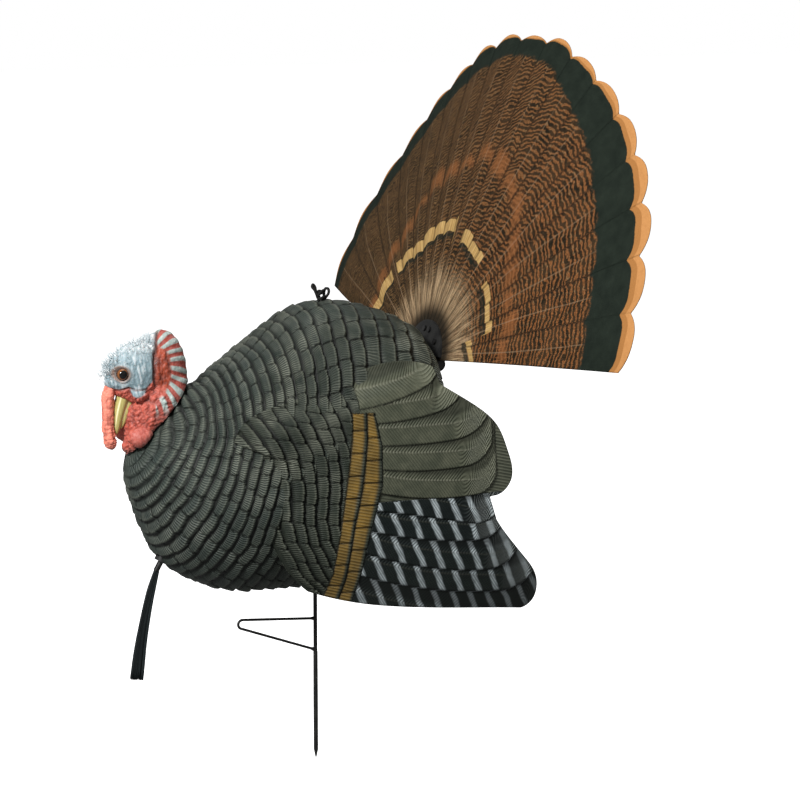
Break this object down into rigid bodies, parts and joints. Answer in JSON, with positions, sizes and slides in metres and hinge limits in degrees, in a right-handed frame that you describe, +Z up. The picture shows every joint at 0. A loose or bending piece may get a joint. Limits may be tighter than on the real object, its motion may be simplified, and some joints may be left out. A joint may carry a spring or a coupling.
{
  "type": "turkey decoy",
  "caption": "Strutting turkey decoy: hollow moulded body with wings, turning head, hanging beard and fold-down tail fan, on a steel ground stake with a foot step.",
  "frame": {"origin": "on the ground stake's axis at ground level, at the top of the ground spike, just below the foot step's lower run", "axes": "+Z up along the stake, the bird faces -X, its left side is -Y"},
  "size_m": [0.5176, 0.743, 0.8038],
  "materials": {
    "stake_steel": "satin black powder coat",
    "body_plastic": "moulded feather relief, dark olive grey",
    "wing_plastic": "moulded flight feathers, dark with pale bars",
    "black_plastic": "plain black",
    "bracket_plastic": "dark brown-black",
    "nut_plastic": "black",
    "screw_steel": "zinc plated",
    "washer_rubber": "plain",
    "cord": "black braided cord",
    "rib_wire": "dark spring wire",
    "fan_fabric": "printed tail feathers in brown, black and copper",
    "head_rubber": "painted red, white and blue-grey skin",
    "eye": "glossy brown with a black pupil",
    "ferrule_metal": "black",
    "beard_fibre": "coarse black fibres"
  },
  "bodies": {
    "stake": {"ground_stake": "stake_steel", "foot_step": "stake_steel"},
    "torso": {"body_shell_left": "body_plastic", "body_shell_right": "body_plastic", "wing_left": "wing_plastic", "wing_right": "wing_plastic", "wing_screws": "screw_steel", "belly_plate": "black_plastic", "belly_screws": "screw_steel", "stake_tube": "black_plastic", "top_block": "black_plastic", "retaining_cord": "cord", "neck_ring": "black_plastic", "beard_socket": "black_plastic", "beard_pin": "screw_steel", "fan_bracket": "bracket_plastic", "bracket_screws": "screw_steel", "pivot_bolt": "screw_steel", "friction_washers": "washer_rubber"},
    "clamp_nut": {"wing_nut": "nut_plastic"},
    "fan": {"fan_hub": "bracket_plastic", "fan_ribs": "rib_wire", "fan_fabric": "fan_fabric", "clamp_plate": "bracket_plastic", "clamp_screws": "screw_steel"},
    "head": {"head": "head_rubber", "left_eye": "eye", "right_eye": "eye", "neck_insert": "black_plastic", "neck_washer": "screw_steel", "neck_screw": "screw_steel"},
    "beard": {"beard_ferrule": "ferrule_metal", "beard_fibres": "beard_fibre"}
  },
  "joints": [
    {"name": "body_swivel", "type": "hinge", "parent": "stake", "child": "torso", "pos_m": [0, 0, 0.0935], "axis": [0, 0, 1], "continuous": true},
    {"name": "fan_fold", "type": "hinge", "parent": "torso", "child": "fan", "pos_m": [0.144, 0, 0.318], "axis": [0, 1, 0], "range_deg": [0, 76]},
    {"name": "clamp_nut_turn", "type": "hinge", "parent": "torso", "child": "clamp_nut", "pos_m": [0.144, 0.02, 0.318], "axis": [0, 1, 0], "continuous": true},
    {"name": "head_turn", "type": "hinge", "parent": "torso", "child": "head", "pos_m": [-0.184, 0, 0.278], "axis": [-0.7465, 0, 0.6654], "range_deg": [-18, 18]},
    {"name": "beard_swing", "type": "hinge", "parent": "torso", "child": "beard", "pos_m": [-0.177, 0, 0.1275], "axis": [0, 1, 0], "range_deg": [-12, 12]}
  ]
}
